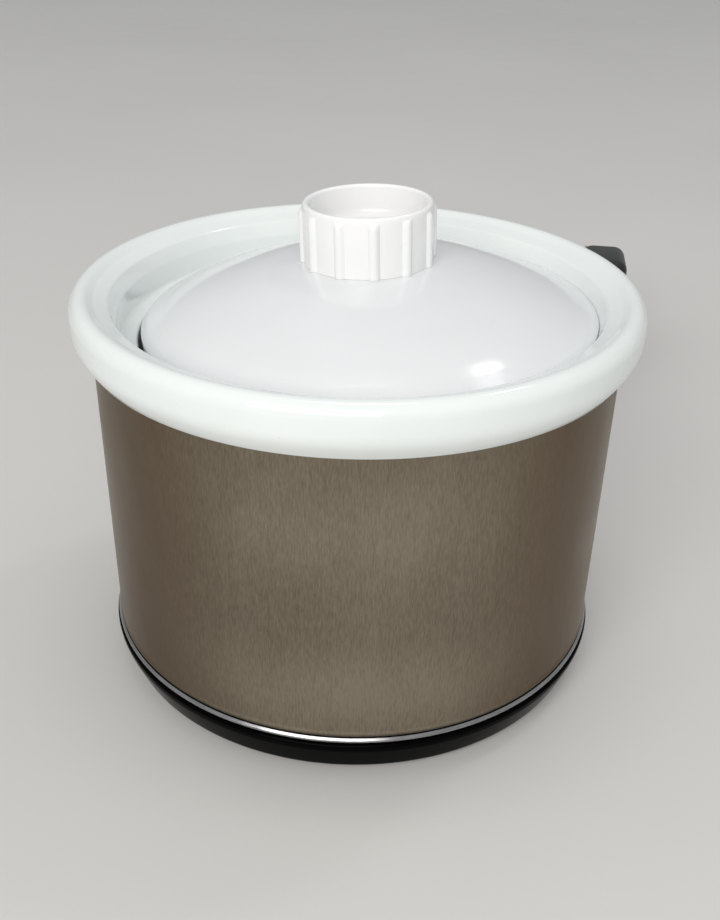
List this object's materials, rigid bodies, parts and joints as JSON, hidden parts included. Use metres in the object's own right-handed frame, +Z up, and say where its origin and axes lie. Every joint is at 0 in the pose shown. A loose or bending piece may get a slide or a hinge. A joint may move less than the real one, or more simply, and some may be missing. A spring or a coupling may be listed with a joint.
{
  "type": "slow cooker",
  "caption": "Small round slow cooker: steel-wrapped heating base, lift-out white stoneware crock, loose domed lid with a ribbed knob, and a mains cord.",
  "frame": {"origin": "centre of the pot's footprint, on the surface that its feet stand on", "axes": "+Z up along the pot's axis, front at -Y, power cord leaves at +Y"},
  "size_m": [0.1908, 0.3179, 0.1216],
  "materials": {
    "white_glaze": "gloss white glaze on stoneware",
    "white_knob": "satin white moulded plastic",
    "brushed_steel": "brushed round the wrapper, fine vertical streaks",
    "bright_trim": "polished",
    "black_plastic": "gloss black moulding",
    "aluminium_sheet": "spun, satin",
    "zinc_plated_steel": "zinc plated",
    "brass_parts": "plain brass",
    "heater_mica": "mica band",
    "glass_fibre": "woven glass fibre",
    "white_wire": "silicone insulation",
    "black_wire": "silicone insulation",
    "black_rubber": "matte",
    "cord_jacket": "satin black jacket"
  },
  "bodies": {
    "housing": {"outer_shell": "brushed_steel", "heating_well": "aluminium_sheet", "base_trim_ring": "bright_trim", "base_moulding": "black_plastic", "foot_1": "black_rubber", "foot_2": "black_rubber", "foot_3": "black_rubber", "foot_4": "black_rubber", "heating_band": "heater_mica", "insulation_wrap": "glass_fibre", "band_clamp": "zinc_plated_steel", "clamp_screw": "zinc_plated_steel", "terminal_left": "brass_parts", "terminal_right": "brass_parts", "thermal_fuse": "brass_parts", "neutral_lead": "white_wire", "live_lead": "black_wire", "fuse_lead": "white_wire", "heat_shield": "aluminium_sheet", "upper_spacer": "zinc_plated_steel", "lower_spacer": "zinc_plated_steel", "centre_stud": "zinc_plated_steel", "stud_washer": "zinc_plated_steel", "stud_nut": "zinc_plated_steel", "strain_relief": "black_rubber", "power_cord": "cord_jacket", "cord_coil": "cord_jacket", "cord_tail": "cord_jacket", "plug_body": "cord_jacket", "plug_blade_left": "brass_parts", "plug_blade_right": "brass_parts"},
    "crock": {"crock": "white_glaze"},
    "lid": {"lid": "white_glaze", "lid_knob": "white_knob", "knob_screw": "zinc_plated_steel", "knob_washer": "zinc_plated_steel"}
  },
  "joints": [
    {"name": "crock_lift", "type": "slide", "parent": "housing", "child": "crock", "axis": [0, 0, 1], "range_m": [0, 0.09]},
    {"name": "lid_lift", "type": "slide", "parent": "crock", "child": "lid", "axis": [0, 0, 1], "range_m": [0, 0.06]}
  ]
}
